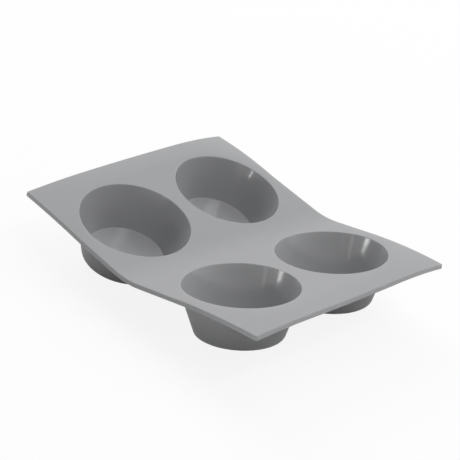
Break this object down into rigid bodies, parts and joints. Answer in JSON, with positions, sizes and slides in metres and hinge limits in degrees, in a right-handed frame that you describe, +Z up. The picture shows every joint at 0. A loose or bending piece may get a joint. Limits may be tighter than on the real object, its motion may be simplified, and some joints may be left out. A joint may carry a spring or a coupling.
{
  "type": "silicone muffin mould",
  "caption": "Flexible silicone bakeware sheet with tapered round cups, bent up between its rows; the cup floors push up to release what was baked.",
  "frame": {"origin": "on the table, under the middle of the fold line, where the inner bottom edges of the cups stand", "axes": "+X along a row of cups from left to right, +Y from the front row to the back row, +Z up"},
  "size_m": [0.168, 0.1974, 0.0434],
  "materials": {
    "sheet_silicone": "satin grey silicone",
    "cup_silicone": "smooth grey silicone, a little glossier inside the cups"
  },
  "bodies": {
    "front_half": {"sheet_front": "sheet_silicone", "flex_band": "sheet_silicone", "cup_wall_front_left": "cup_silicone", "cup_wall_front_right": "cup_silicone"},
    "back_half": {"sheet_back": "sheet_silicone", "cup_wall_back_left": "cup_silicone", "cup_wall_back_right": "cup_silicone"},
    "floor_front_left": {"cup_floor_front_left": "cup_silicone"},
    "floor_front_right": {"cup_floor_front_right": "cup_silicone"},
    "floor_back_left": {"cup_floor_back_left": "cup_silicone"},
    "floor_back_right": {"cup_floor_back_right": "cup_silicone"}
  },
  "joints": [
    {"name": "sheet_fold", "type": "hinge", "parent": "front_half", "child": "back_half", "pos_m": [0, 0, 0.02441], "axis": [1, 0, 0], "range_deg": [-81.5, 68.5], "deforming": ["flex_band"]},
    {"name": "push_up_front_left", "type": "slide", "parent": "front_half", "child": "floor_front_left", "axis": [0, 0.1865, 0.9825], "range_m": [0, 0.018], "stiffness_N_per_m": 400, "springref_m": -0.002},
    {"name": "push_up_front_right", "type": "slide", "parent": "front_half", "child": "floor_front_right", "axis": [0, 0.1865, 0.9825], "range_m": [0, 0.018], "stiffness_N_per_m": 400, "springref_m": -0.002},
    {"name": "push_up_back_left", "type": "slide", "parent": "back_half", "child": "floor_back_left", "axis": [0, -0.1865, 0.9825], "range_m": [0, 0.018], "stiffness_N_per_m": 400, "springref_m": -0.002},
    {"name": "push_up_back_right", "type": "slide", "parent": "back_half", "child": "floor_back_right", "axis": [0, -0.1865, 0.9825], "range_m": [0, 0.018], "stiffness_N_per_m": 400, "springref_m": -0.002}
  ]
}
